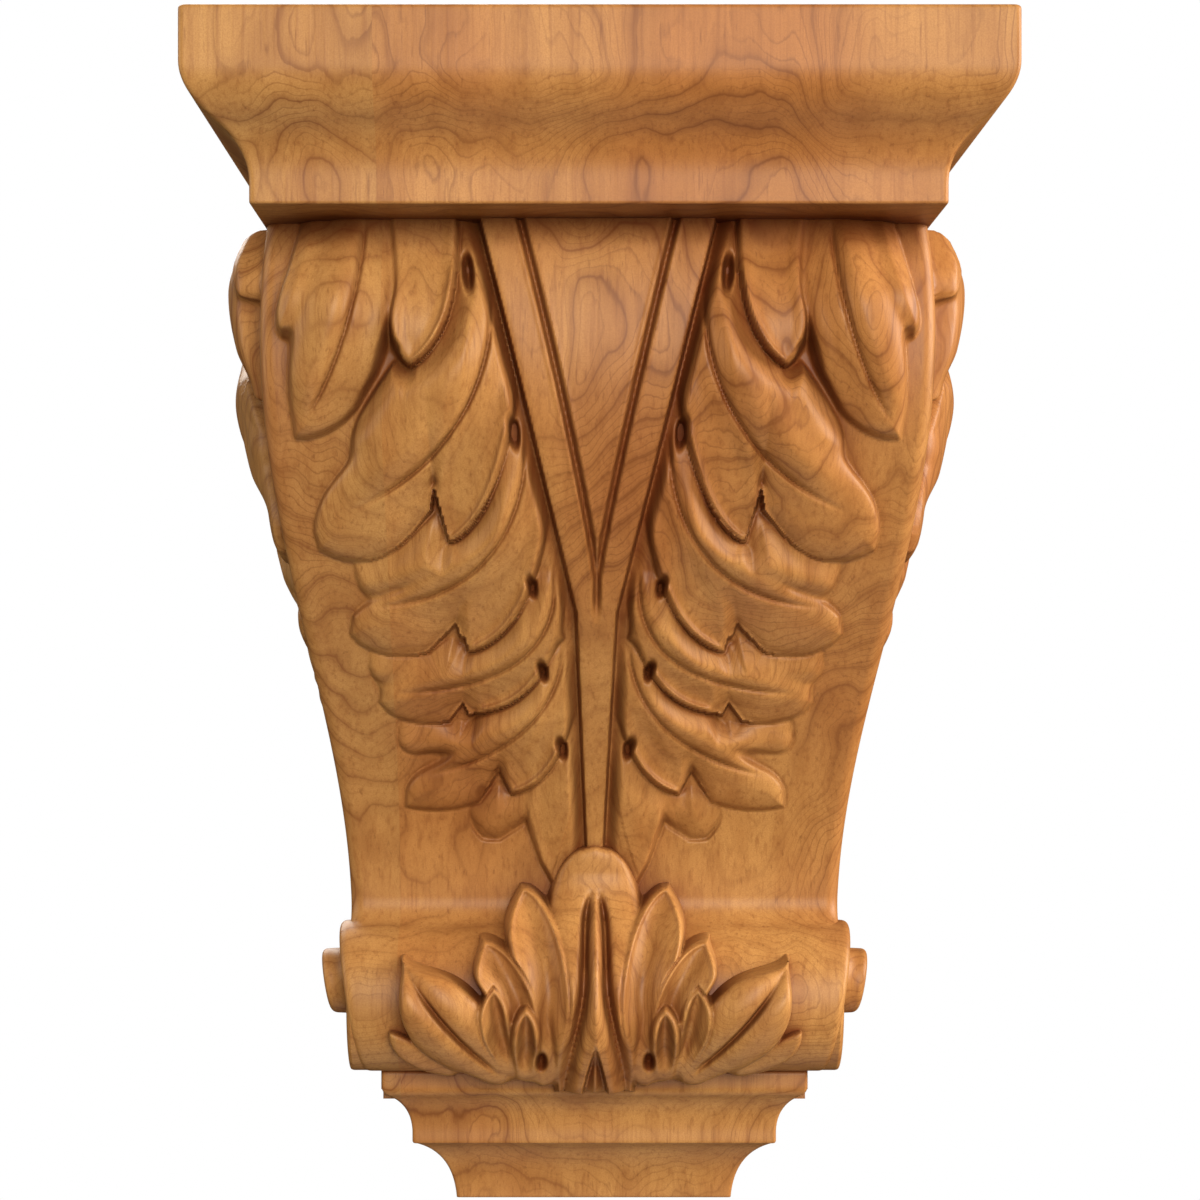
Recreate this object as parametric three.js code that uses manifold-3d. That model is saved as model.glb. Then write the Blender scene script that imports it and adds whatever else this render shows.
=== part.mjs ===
// Carved wood corbel: a moulded cap, a tapering S-curved body with acanthus leaves on its front
// and sides, a roll with a button at each end, a small upright acanthus and a coved foot.
// It is one carved piece. Millimetres, +Z up, the back face on the wall at Y = 0, the front
// towards -Y, and the origin at the middle of the back face.
import * as THREE from 'three';
import { mergeVertices } from 'three/addons/utils/BufferGeometryUtils.js';
import Module from 'manifold-3d';

const wasm = await Module();
wasm.setup();

// Overall sizes
const height = 352;
const width = 228.6;
const depth = 177.8;
const top = height / 2;
const bottom = -height / 2;
const halfWidth = width / 2;

// Cap moulding
const capHeight = 51;
const capBand = 15;
const capNeckInset = 17.2;
const capNeckBand = 6;
const capNoseShare = 0.52;
const capCreaseShare = 0.48;
const capUnderside = top - capHeight;

// Body: the widths and depths at its bulge under the cap and at its hollow above the roll
const bulgeDrop = 83;
const hollowRise = 89;
const bulgeDepth = 135;
const hollowDepth = 54;
const bulgeHalfWidth = 97.5;
const hollowHalfWidth = 77.5;
const arrisRadius = 4.5;
const bulgeZ = top - bulgeDrop;
const hollowZ = bottom + hollowRise;

// Roll and its buttons
const rollRadius = 23.9;
const rollRise = 68.6;
const rollFromWall = 52.5;
const rollFillet = 10;
const rollHalfLength = 77.4;
const rollLean = 0.16;
const buttonRadius = 10.2;
const buttonRise = 4.7;
const buttonStandOut = 7.2;
const buttonRound = 2.5;
const rollZ = bottom + rollRise;

// Foot: a block and two coves
const footHeight = 50;
const footHalfWidth = 67.8;
const footDepth = 55;
const footBand = 13.5;
const upperCove = { inset: 9.3, drop: 12.5 };
const lowerCoveInset = 23;
const footFillet = 3.8;
const footBlockRound = 2;

// Strap down the middle of the front, with a V of two grooves
const strapTopHalfWidth = 34;
const strapForkHalfWidth = 6.2;
const strapEndHalfWidth = 2.6;
const strapForkZ = bottom + 189;
const strapEndZ = bottom + 112;
const strapTopRise = 9;
const strapEndRise = 5;
const grooveInset = 11.7;
const grooveMeetZ = bottom + 199;
const grooveWidth = 2.5;
const grooveDepth = 2.6;

// Carving: lobes are given in hundredths of the half width (x) and of the height (z) from the
// bottom edge. A lobe runs from its root past its bend to its tip. Left and right are those of
// someone walking along it on the half with positive x, and each holds the half width, the place
// where it is widest, the root's share of it and how blunt the tip is. rise is the height in mm
// and crown the height of the middle as a share of that of the edges.
const lobe = (root, bend, tip, left, right, rise, crown) => (
  { root, bend, tip, left, right, rise, crown });

// The first rows are the lobes that hang from the cap
const capLobes = 3;
const frontLeaf = [
  lobe([71.4, 88.1], [71.4, 81.0], [79.0, 76.2], [4.0, 0.62, 0.8, 0.55], [3.7, 0.62, 0.8, 0.8], 7.5, 0.85),
  lobe([59.3, 88.1], [58.1, 76.6], [76.3, 67.8], [11.0, 0.52, 0.85, 1.0], [11.0, 0.62, 0.9, 0.8], 13, 0.8),
  lobe([40.4, 88.1], [39.0, 78.7], [46.5, 73.3], [9.4, 0.6, 1.3, 0.6], [5.5, 0.45, 0.95, 0.9], 12, 0.75),
  lobe([40.0, 76.2], [49.8, 71.3], [59.2, 66.3], [6.0, 0.72, 0.8, 0.5], [5.5, 0.72, 0.6, 0.7], 8.5, 0.85),
  lobe([28.6, 86.7], [28.5, 68.7], [71.6, 58.9], [10.7, 0.8, 0.7, 0.6], [12.0, 0.8, 0.4, 0.8], 11.5, 0.8),
  lobe([26.0, 84.1], [18.0, 68.3], [38.3, 59.5], [10.7, 0.68, 0.9, 0.9], [4.1, 0.72, 1.0, 0.6], 9.5, 0.75),
  lobe([32.2, 62.8], [49.2, 57.8], [62.7, 56.8], [9.3, 0.8, 1.0, 0.35], [5.7, 0.75, 0.6, 0.4], 8, 0.85),
  lobe([18.2, 71.8], [12.6, 54.2], [64.9, 51.9], [7.1, 0.87, 1.5, 0.35], [9.7, 0.74, 0.4, 0.7], 9.5, 0.85),
  lobe([16.7, 69.1], [11.8, 54.9], [33.7, 50.4], [10.0, 0.7, 0.9, 0.8], [2.9, 0.6, 1.4, 0.8], 8.5, 0.8),
  lobe([25.2, 52.7], [43.7, 49.7], [60.4, 49.2], [5.8, 0.8, 1.0, 0.35], [4.7, 0.75, 0.6, 0.5], 7.5, 0.85),
  lobe([11.3, 60.2], [13.5, 47.2], [58.0, 46.1], [5.6, 0.84, 1.5, 0.35], [8.8, 0.7, 0.45, 0.6], 8.5, 0.85),
  lobe([11.8, 58.0], [8.5, 47.8], [31.7, 45.2], [9.1, 0.75, 0.9, 0.5], [2.4, 0.6, 1.3, 0.8], 7.5, 0.8),
  lobe([20.2, 46.7], [39.1, 43.2], [53.6, 42.7], [6.4, 0.8, 1.0, 0.35], [4.3, 0.75, 0.6, 0.5], 7, 0.85),
  lobe([6.7, 54.7], [6.3, 40.8], [52.1, 36.7], [8.2, 0.88, 1.3, 0.5], [6.5, 0.68, 0.5, 1.0], 8.5, 0.85),
  lobe([7.7, 51.4], [5.0, 40.6], [23.4, 37.9], [8.7, 0.8, 0.9, 0.6], [1.9, 0.6, 1.3, 0.7], 7.5, 0.8),
  lobe([12.8, 41.0], [24.5, 37.9], [31.0, 33.8], [7.4, 0.7, 0.9, 0.8], [7.1, 0.7, 0.7, 0.8], 6.5, 0.85),
  lobe([4.8, 46.3], [3.6, 36.1], [11.5, 29.1], [12.7, 0.5, 0.7, 1.4], [5.5, 0.6, 1.2, 0.6], 7, 0.85),
];

const husk = lobe([0, 19.3], [0, 26.0], [0, 33.1], [12.6, 0.5, 0.5, 0.5], [12.6, 0.5, 0.5, 0.5], 9, 1.2);

const lowLeaf = [
  lobe([14.2, 11.8], [8.0, 21.4], [20.3, 29.6], [5.9, 0.5, 0.6, 0.5], [8.3, 0.7, 0.6, 1], 8.5, 0.7),
  lobe([15.0, 14.6], [20.3, 21.4], [30.9, 25.2], [4.6, 0.5, 0.5, 0.8], [7.5, 0.7, 0.5, 1.5], 8, 0.7),
  lobe([22.6, 13.0], [26.2, 17.5], [27.5, 21.4], [3.0, 0.6, 0.6, 1], [5.4, 0.5, 0.6, 1.1], 7.5, 0.8),
  lobe([18.9, 12.3], [18.5, 16.1], [18.7, 19.5], [3.5, 0.5, 0.8, 0.9], [3.8, 0.5, 0.8, 0.9], 8, 0.8),
  lobe([23.8, 12.3], [41.8, 17.5], [52.1, 23.5], [10.7, 0.5, 0.4, 1.5], [9.7, 0.5, 0.4, 1.5], 8.5, 0.8),
  lobe([38.2, 13.1], [49.7, 14.2], [55.6, 17.1], [3.2, 0.5, 0.6, 0.8], [3.2, 0.5, 0.6, 0.8], 3.5, 0.8),
  lobe([6.3, 11.6], [3.1, 20.1], [1.9, 29.2], [2.8, 0.35, 0.9, 0.5], [2.2, 0.35, 0.9, 0.5], 8.5, 1.2),
];

const lowLeafCover = 4.5;
const apronReach = 40;
const apronSharpness = 1.3;
const rootHeightShare = 0.5;
const lobeSink = 4;
const wallLean = 0.9;
const lastShare = 0.985;
const closerToTip = 1.5;
const tipRoundness = 2.6;
const frontSteps = 6;
const sideSteps = 4;
const rollSteps = 5;

// On the side the leaf is lower towards the roll, and its cap lobes are lifted and lower
const sideShareLow = 0.15;
const sideShareHigh = 1.04;
const sideCapLift = 12;
const sideCapShare = 0.82;
const sideFromWall = 0.02;
const sideToArris = 0.97;

// Depth and half width of the plain body at a height, both along the same S-curve
function sCurve(z) {
  const share = THREE.MathUtils.clamp((bulgeZ - z) / (bulgeZ - hollowZ), -1, 1);
  return 0.5 + 0.5 * Math.cos(Math.PI * share);
}

function plainDepth(z) {
  return THREE.MathUtils.lerp(hollowDepth, bulgeDepth, sCurve(z));
}

// Heights above the roll's axis where the fillet's circle leaves the front and meets the roll
const filletReach = rollRadius + rollFillet;
const filletStart = Math.sqrt(filletReach ** 2 - (hollowDepth + rollFillet - rollFromWall) ** 2);
const filletEnd = filletStart * rollRadius / filletReach;

function bodyDepth(z) {
  const sink = THREE.MathUtils.clamp(filletStart - (z - rollZ), 0, filletStart - filletEnd);
  return plainDepth(z) + rollFillet - Math.sqrt(rollFillet ** 2 - sink ** 2);
}

function bodyHalfWidth(z) {
  return THREE.MathUtils.lerp(hollowHalfWidth, bulgeHalfWidth, sCurve(z));
}

// A closed solid through equal rings of points, which turn counterclockwise about its course
function lofted(rings) {
  const sides = rings[0].length;
  const steps = rings.length - 1;
  const geometry = new THREE.CylinderGeometry(1, 1, steps, sides, steps);
  const position = geometry.getAttribute('position');
  const centres = rings.map((ring) => ring.reduce((sum, point) => sum.add(point), new THREE.Vector3())
    .divideScalar(sides));
  for (let i = 0; i < position.count; i += 1) {
    const row = Math.round(position.getY(i) + steps / 2);
    const angle = Math.atan2(position.getX(i), position.getZ(i));
    const corner = (Math.round((angle / (2 * Math.PI)) * sides) + sides) % sides;
    const onRim = Math.hypot(position.getX(i), position.getZ(i)) > 0.5;
    const point = onRim ? rings[row][corner] : centres[row];
    position.setXYZ(i, point.x, point.y, point.z);
  }
  return geometry;
}

function toManifold(geometry) {
  const bare = geometry.clone();
  bare.deleteAttribute('normal');
  bare.deleteAttribute('uv');
  const merged = mergeVertices(bare, 1e-4);
  return new wasm.Manifold(new wasm.Mesh({
    numProp: 3,
    vertProperties: new Float32Array(merged.getAttribute('position').array),
    triVerts: new Uint32Array(merged.getIndex().array),
  }));
}

function toGeometry(manifold) {
  const mesh = manifold.getMesh();
  const geometry = new THREE.BufferGeometry();
  geometry.setAttribute('position', new THREE.BufferAttribute(mesh.vertProperties, 3));
  geometry.setIndex(new THREE.BufferAttribute(mesh.triVerts, 1));
  geometry.computeVertexNormals();
  return geometry;
}

// A rectangular moulding against the wall: each profile point is an inset and a height
function moulding(profile, halfSpan, reach) {
  const rings = profile.map(({ x: inset, y: z }) => {
    const side = halfSpan - inset;
    const front = reach - inset;
    return [
      new THREE.Vector3(-side, 0, z),
      new THREE.Vector3(-side, -front, z),
      new THREE.Vector3(side, -front, z),
      new THREE.Vector3(side, 0, z),
    ];
  });
  return lofted(rings);
}

function capMoulding() {
  const neckTop = capUnderside + capNeckBand;
  const bandFoot = top - capBand;
  const crease = new THREE.Vector2(
    capNeckInset * capNoseShare,
    THREE.MathUtils.lerp(bandFoot, neckTop, capCreaseShare),
  );
  const cove = new THREE.QuadraticBezierCurve(
    new THREE.Vector2(capNeckInset, neckTop),
    new THREE.Vector2(capNeckInset, THREE.MathUtils.lerp(neckTop, crease.y, 0.6)),
    crease,
  );
  const nose = new THREE.QuadraticBezierCurve(
    crease,
    new THREE.Vector2(0, THREE.MathUtils.lerp(crease.y, bandFoot, 0.45)),
    new THREE.Vector2(0, bandFoot),
  );
  const profile = [
    new THREE.Vector2(capNeckInset, capUnderside),
    ...cove.getPoints(4),
    ...nose.getPoints(4).slice(1),
    new THREE.Vector2(0, top),
  ];
  return moulding(profile, halfWidth, depth);
}

function footMoulding() {
  const blockFoot = bottom + footHeight - footBand;
  const filletTop = blockFoot - upperCove.drop;
  const lip = filletTop - footFillet;
  const lower = new THREE.QuadraticBezierCurve(
    new THREE.Vector2(lowerCoveInset, bottom),
    new THREE.Vector2(lowerCoveInset, lip),
    new THREE.Vector2(upperCove.inset, lip),
  );
  const upper = new THREE.QuadraticBezierCurve(
    new THREE.Vector2(upperCove.inset, filletTop),
    new THREE.Vector2(upperCove.inset, blockFoot),
    new THREE.Vector2(footBlockRound, blockFoot),
  );
  const profile = [
    ...lower.getPoints(5),
    ...upper.getPoints(4),
    new THREE.Vector2(0, blockFoot + footBlockRound),
    new THREE.Vector2(0, rollZ),
  ];
  return moulding(profile, footHalfWidth, footDepth);
}

// The plain tapering body with softened front arrises
function plainBody() {
  const steps = 11;
  const filletSteps = 2;
  const arc = [0, 0.5, 1].map((share) => share * Math.PI / 2);
  const levels = [bottom + footHeight - footBand / 2];
  for (let i = 0; i < filletSteps; i += 1) {
    levels.push(rollZ + THREE.MathUtils.lerp(filletEnd, filletStart, i / filletSteps));
  }
  for (let i = 0; i <= steps; i += 1) {
    levels.push(THREE.MathUtils.lerp(rollZ + filletStart, capUnderside + capNeckBand / 2, i / steps));
  }
  const rings = [];
  for (const z of levels) {
    const side = bodyHalfWidth(z);
    const front = z < rollZ ? hollowDepth : bodyDepth(z);
    const left = arc.map((angle) => new THREE.Vector3(
      -side + arrisRadius * (1 - Math.cos(angle)),
      -front + arrisRadius * (1 - Math.sin(angle)),
      z,
    ));
    const right = left.map(({ x, y }) => new THREE.Vector3(-x, y, z)).reverse();
    rings.push([new THREE.Vector3(-side, 0, z), ...left, ...right, new THREE.Vector3(side, 0, z)]);
  }
  return lofted(rings);
}

// The roll lies across the front; its ends lean in with the body's sides
function roll() {
  const geometry = new THREE.CylinderGeometry(rollRadius, rollRadius, 2, 22, 1);
  geometry.rotateZ(-Math.PI / 2);
  const position = geometry.getAttribute('position');
  for (let i = 0; i < position.count; i += 1) {
    const reach = rollHalfLength + rollLean * position.getZ(i);
    position.setX(i, position.getX(i) * reach);
  }
  geometry.translate(0, -rollFromWall, rollZ);
  return geometry;
}

// The buttons are the rounded ends of one turned bar through the roll, a little above its axis
function buttons() {
  const reach = rollHalfLength + rollLean * buttonRise + buttonStandOut;
  const soft = new THREE.QuadraticBezierCurve(
    new THREE.Vector2(buttonRadius, reach - buttonRound),
    new THREE.Vector2(buttonRadius, reach),
    new THREE.Vector2(buttonRadius - buttonRound, reach),
  ).getPoints(2);
  const mirrored = soft.map(({ x, y }) => new THREE.Vector2(x, -y)).reverse();
  const profile = [new THREE.Vector2(0, -reach), ...mirrored, ...soft, new THREE.Vector2(0, reach)];
  const geometry = new THREE.LatheGeometry(profile, 14);
  geometry.rotateZ(-Math.PI / 2);
  geometry.translate(0, -rollFromWall, rollZ + buttonRise);
  return geometry;
}

// Half width and height of the strap, and the half spread of its grooves, at a height
function strapHalfWidth(z) {
  if (z > strapForkZ) {
    const share = (z - strapForkZ) / (capUnderside - strapForkZ);
    return THREE.MathUtils.lerp(strapForkHalfWidth, strapTopHalfWidth, share);
  }
  const share = (z - strapEndZ) / (strapForkZ - strapEndZ);
  return THREE.MathUtils.lerp(strapEndHalfWidth, strapForkHalfWidth, share);
}

function strapFace(z) {
  const share = (z - strapEndZ) / (capUnderside - strapEndZ);
  return bodyDepth(z) + THREE.MathUtils.lerp(strapEndRise, strapTopRise, share);
}

function strap() {
  const steps = 9;
  const rings = [];
  for (let i = 0; i <= steps; i += 1) {
    const z = THREE.MathUtils.lerp(strapEndZ, capUnderside + capNeckBand / 2, i / steps);
    const side = strapHalfWidth(z);
    const back = bodyDepth(z) - lobeSink;
    rings.push([
      new THREE.Vector3(-side, -back, z),
      new THREE.Vector3(-side, -strapFace(z), z),
      new THREE.Vector3(side, -strapFace(z), z),
      new THREE.Vector3(side, -back, z),
    ]);
  }
  return lofted(rings);
}

function strapGroove(hand) {
  const steps = 6;
  const rings = [];
  for (let i = 0; i <= steps; i += 1) {
    const z = THREE.MathUtils.lerp(grooveMeetZ, capUnderside, i / steps);
    const spread = hand * (i / steps) * (strapTopHalfWidth - grooveInset);
    const face = strapFace(z);
    rings.push([
      new THREE.Vector3(spread - grooveWidth / 2, -face - 1, z),
      new THREE.Vector3(spread + grooveWidth / 2, -face - 1, z),
      new THREE.Vector3(spread, -face + grooveDepth, z),
    ]);
  }
  return lofted(rings);
}

// The width of one side of a lobe along its course: from its neck to its widest and round to its tip
function lobeWidth([full, widest, neck, blunt], share) {
  const swell = THREE.MathUtils.smoothstep(share, 0, widest);
  const round = Math.max(0, (share - widest) / (1 - widest));
  return full * THREE.MathUtils.lerp(neck, 1, swell) * (1 - round ** tipRoundness) ** blunt * halfWidth / 100;
}

// One lobe as a solid: place(across, z, rise) puts a point of it on the carved surface
function lobeSolid(shape, steps, place, mirrored) {
  const toPoint = ([x, z]) => new THREE.Vector2(x / 100 * halfWidth, bottom + z / 100 * height);
  const course = new THREE.QuadraticBezierCurve(toPoint(shape.root), toPoint(shape.bend), toPoint(shape.tip));
  const rings = [];
  for (let i = 0; i <= steps; i += 1) {
    const share = lastShare * (1 - (1 - i / steps) ** closerToTip);
    const middle = course.getPoint(share);
    const along = course.getTangent(share);
    const left = lobeWidth(shape.left, share);
    const right = lobeWidth(shape.right, share);
    const rise = shape.rise * THREE.MathUtils.lerp(rootHeightShare, 1, share);
    const section = [
      [left, null],
      [left * wallLean, rise],
      [0, rise * shape.crown],
      [-right * wallLean, rise],
      [-right, null],
    ];
    const ring = section.map(([offset, up]) => {
      const x = middle.x - along.y * offset;
      const z = middle.y + along.x * offset;
      return place(x, z, up);
    });
    rings.push(mirrored ? ring.reverse() : ring);
  }
  return lofted(rings);
}

const onFront = (hand) => (x, z, up) => {
  const level = bodyDepth(z) + (up === null ? -lobeSink : up);
  return new THREE.Vector3(hand * x, -level, z);
};

// The side leaf is the front one laid from the wall to the front arris
const onSide = (hand, lift, share) => (x, z, up) => {
  const level = z + lift;
  const across = THREE.MathUtils.clamp(x / bodyHalfWidth(level), sideFromWall, sideToArris);
  const reach = bodyDepth(level) * across;
  const stand = up * share * THREE.MathUtils.lerp(sideShareLow, sideShareHigh, sCurve(level));
  return new THREE.Vector3(hand * (bodyHalfWidth(level) + (up === null ? -lobeSink : stand)), -reach, level);
};

// The small upright leaf lies over the roll on an apron that bulges over it
const onRoll = (hand) => (x, z, up) => {
  const off = THREE.MathUtils.clamp((z - rollZ) / apronReach, -1, 1);
  const bulge = Math.cos(0.5 * Math.PI * off) ** apronSharpness;
  const overRoll = THREE.MathUtils.lerp(hollowDepth, rollFromWall + rollRadius + lowLeafCover, bulge);
  const under = Math.max(overRoll, z > rollZ ? plainDepth(z) : footDepth + lowLeafCover);
  const level = up === null ? hollowDepth - lobeSink : under + up - lowLeafCover / 2;
  return new THREE.Vector3(hand * x, -level, z);
};

function carvedCorbel() {
  const solids = [capMoulding(), plainBody(), footMoulding(), roll(), buttons(), strap()];
  solids.push(lobeSolid(husk, rollSteps, onRoll(1), false));
  for (const hand of [1, -1]) {
    frontLeaf.forEach((shape, i) => {
      const onThisSide = i < capLobes ? onSide(hand, sideCapLift, sideCapShare) : onSide(hand, 0, 1);
      solids.push(lobeSolid(shape, frontSteps, onFront(hand), hand < 0));
      solids.push(lobeSolid(shape, sideSteps, onThisSide, hand > 0));
    });
    for (const shape of lowLeaf) {
      solids.push(lobeSolid(shape, rollSteps, onRoll(hand), hand < 0));
    }
  }
  let carved = toManifold(solids[0]);
  for (const solid of solids.slice(1)) {
    carved = carved.add(toManifold(solid));
  }
  for (const hand of [1, -1]) {
    carved = carved.subtract(toManifold(strapGroove(hand)));
  }
  return toGeometry(carved);
}

const wood = new THREE.MeshStandardMaterial({ color: 0xb9814c, roughness: 0.5, metalness: 0 });
const corbel = new THREE.Mesh(carvedCorbel(), wood);
corbel.name = 'corbel';

const part = new THREE.Group();
part.add(corbel);

export default part;
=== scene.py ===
import math

import bpy
import numpy as np
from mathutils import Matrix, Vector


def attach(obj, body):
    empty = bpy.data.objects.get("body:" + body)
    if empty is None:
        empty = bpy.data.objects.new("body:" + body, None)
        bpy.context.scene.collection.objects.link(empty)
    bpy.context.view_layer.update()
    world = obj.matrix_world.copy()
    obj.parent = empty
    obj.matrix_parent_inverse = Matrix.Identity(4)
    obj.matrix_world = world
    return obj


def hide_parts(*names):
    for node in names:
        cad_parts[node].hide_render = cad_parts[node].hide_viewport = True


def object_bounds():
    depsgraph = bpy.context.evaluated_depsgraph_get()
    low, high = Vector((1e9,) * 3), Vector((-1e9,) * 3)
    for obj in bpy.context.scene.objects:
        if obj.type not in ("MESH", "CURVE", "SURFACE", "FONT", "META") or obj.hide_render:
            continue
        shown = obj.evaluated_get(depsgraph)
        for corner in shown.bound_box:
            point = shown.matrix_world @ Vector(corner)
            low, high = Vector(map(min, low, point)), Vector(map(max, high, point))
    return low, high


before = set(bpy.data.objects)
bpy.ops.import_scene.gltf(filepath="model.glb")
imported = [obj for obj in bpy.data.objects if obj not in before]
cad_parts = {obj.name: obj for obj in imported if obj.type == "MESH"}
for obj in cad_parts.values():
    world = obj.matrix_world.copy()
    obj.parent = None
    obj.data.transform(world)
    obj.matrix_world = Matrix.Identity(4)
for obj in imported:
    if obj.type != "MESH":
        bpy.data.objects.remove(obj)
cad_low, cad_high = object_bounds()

# The corbel is carved from one block of cherry-like hardwood, and all its surfaces below are parts
# of that block. Its moulded cap is run on three sides with mitred corners, and the arrises are
# sanded soft. Sizes are in mm, and the overall ones come from the frame.
half_width = 500 * (cad_high.x - cad_low.x)
depth = -1000 * cad_low.y
top = 1000 * cad_high.z
bottom = 1000 * cad_low.z
height = top - bottom

cap_height = 51
cap_band = 15
cap_neck_inset = 17.2
cap_neck_band = 6
cap_nose_share = 0.52
cap_crease_share = 0.48
cap_corner = 1.6
cap_underside = top - cap_height


def mix(a, b, share):
    """The value a share of the way from a to b."""
    return a + (b - a) * share


def smooth_step(low, high, value):
    """0 below low, 1 above high, and 3s^2 - 2s^3 of the share s between them."""
    share = np.clip((value - low) / (high - low), 0, 1)
    return share * share * (3 - 2 * share)


def bezier(start, pull, end, count):
    """Points of the quadratic curve (1-t)^2 start + 2t(1-t) pull + t^2 end at even t."""
    t = np.linspace(0, 1, count)[:, None]
    start, pull, end = (np.array(p, float) for p in (start, pull, end))
    return (1 - t) ** 2 * start + 2 * t * (1 - t) * pull + t ** 2 * end


def filled(path, gap):
    """The same path with points added on straight stretches so that none is longer than gap."""
    pieces = []
    for a, b in zip(path[:-1], path[1:]):
        steps = max(1, math.ceil(np.linalg.norm(b - a) / gap))
        pieces.append(mix(a, b, np.arange(steps)[:, None] / steps))
    return np.concatenate([*pieces, path[-1:]])


def grid_faces(rows, columns, start):
    """Corner numbers of the quads of a grid whose points are numbered row by row from start."""
    number = start + np.arange(rows * columns).reshape(rows, columns)
    corners = [number[:-1, :-1], number[:-1, 1:], number[1:, 1:], number[1:, :-1]]
    return np.stack(corners, -1).reshape(-1, 4)


def carved_piece(name, grids, flats, normals=None):
    """A closed mesh from smooth grids (rows x columns x 3) and flat polygons that share borders.

    Points that coincide are merged, so that the grids and flats close on each other. The first
    grid's own normals can be given, so that it meets a neighbouring piece without a seam, and then
    the other grids are flat faces too."""
    points = np.concatenate([g.reshape(-1, 3) for g in grids] + flats)
    starts = np.cumsum([0] + [g.shape[0] * g.shape[1] for g in grids] + [len(f) for f in flats])
    own = np.concatenate([grid_faces(*g.shape[:2], s) for g, s in zip(grids, starts)])
    _, first, merged = np.unique(np.round(points, 3), axis=0, return_index=True,
                                 return_inverse=True)
    merged = merged.ravel()
    quads = merged[own]
    whole = np.all(quads != np.roll(quads, 1, axis=1), axis=1)
    loops = [quads[whole].ravel()]
    totals = [np.full(int(whole.sum()), 4)]
    for flat, start in zip(flats, starts[len(grids):]):
        corners = merged[start:start + len(flat)]
        corners = corners[corners != np.roll(corners, 1)]
        loops.append(corners)
        totals.append(np.array([len(corners)]))
    loops = np.concatenate(loops)
    totals = np.concatenate(totals)
    loop_starts = np.concatenate([[0], np.cumsum(totals)[:-1]])
    mesh = bpy.data.meshes.new(name)
    mesh.vertices.add(len(first))
    mesh.vertices.foreach_set("co", (points[first] * 0.001).astype(np.float32).ravel())
    mesh.loops.add(len(loops))
    mesh.loops.foreach_set("vertex_index", loops.astype(np.int32))
    mesh.polygons.add(len(totals))
    mesh.polygons.foreach_set("loop_start", loop_starts.astype(np.int32))
    mesh.polygons.foreach_set("loop_total", totals.astype(np.int32))
    mesh.update(calc_edges=True)
    smooth = int(whole.sum())
    if normals is not None:
        smooth = int((whole & (own[:, 0] < starts[1])).sum())
        given = np.zeros((len(loops), 3))
        given[:4 * smooth] = normals.reshape(-1, 3)[own[whole][:smooth].ravel()]
    mesh.polygons.foreach_set("use_smooth", np.arange(len(totals)) < smooth)
    if normals is not None:
        mesh.normals_split_custom_set(given)
    piece = bpy.data.objects.new(name, mesh)
    bpy.context.collection.objects.link(piece)
    return piece


def moulded_block(profile, side, front, corner):
    """Grid and flats of a moulding run round three sides of a block against the wall.

    The profile is rows of inset and height. At each row the path runs from the wall along one
    side, round a corner arc, along the front and back to the wall, moved in by the inset. A point
    guard mm beside each arc keeps the flat faces flat."""
    guard = 0.5
    angle = np.linspace(0, math.pi / 2, 7)
    across = np.linspace(0, 1, 15)[1:-1, None]
    rows = []
    for inset, level in profile:
        reach = front - inset
        span = side - inset
        arc = corner * (1 - np.stack([np.cos(angle), np.sin(angle)], -1)) - [span, reach]
        left = np.concatenate([[[-span, 0], [-span, -reach + corner + guard]], arc,
                               [[-span + corner + guard, -reach]]])
        middle = mix(left[-1], left[-1] * [-1, 1], across)
        path = np.concatenate([left, middle, left[::-1] * [-1, 1]])
        rows.append(np.column_stack([path, np.full(len(path), level)]))
    grid = np.array(rows)
    back = np.concatenate([grid[:, 0], grid[::-1, -1]])
    return grid, [grid[0][::-1], grid[-1], back]


profile_gap = 1.4


def cap_profile():
    """The cap's section from its underside up: soft lower arris, upright neck, hollow, nose,
    upright band and soft upper arris. Hollow and nose are curves that meet in a crease."""
    soft_low = 0.9
    soft_top = 1.3
    hollow_pull = 0.6
    nose_pull = 0.45
    neck_top = cap_underside + cap_neck_band
    band_foot = top - cap_band
    crease = [cap_neck_inset * cap_nose_share, mix(band_foot, neck_top, cap_crease_share)]
    start = bezier([cap_neck_inset + soft_low, cap_underside], [cap_neck_inset, cap_underside],
                   [cap_neck_inset, cap_underside + soft_low], 5)
    hollow = bezier([cap_neck_inset, neck_top],
                    [cap_neck_inset, mix(neck_top, crease[1], hollow_pull)], crease, 14)
    nose = bezier(crease, [0, mix(crease[1], band_foot, nose_pull)], [0, band_foot], 14)
    end = bezier([0, top - soft_top], [0, top], [soft_top, top], 8)
    return filled(np.concatenate([start, hollow, nose[1:], end]), profile_gap)


def linear(code):
    """Linear red, green, blue and 1 of an sRGB hex colour."""
    parts = [int(code[i:i + 2], 16) / 255 for i in (1, 3, 5)]
    return [p / 12.92 if p <= 0.04045 else ((p + 0.055) / 1.055) ** 2.4 for p in parts] + [1]


def add_node(tree, kind, settings=(), values=(), links=()):
    """Adds a node with its settings, input values and links from other nodes' outputs."""
    node = tree.nodes.new(kind)
    for key, value in dict(settings).items():
        setattr(node, key, value)
    for key, value in dict(values).items():
        node.inputs[key].default_value = value
    for key, output in dict(links).items():
        tree.links.new(output, node.inputs[key])
    return node


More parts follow.
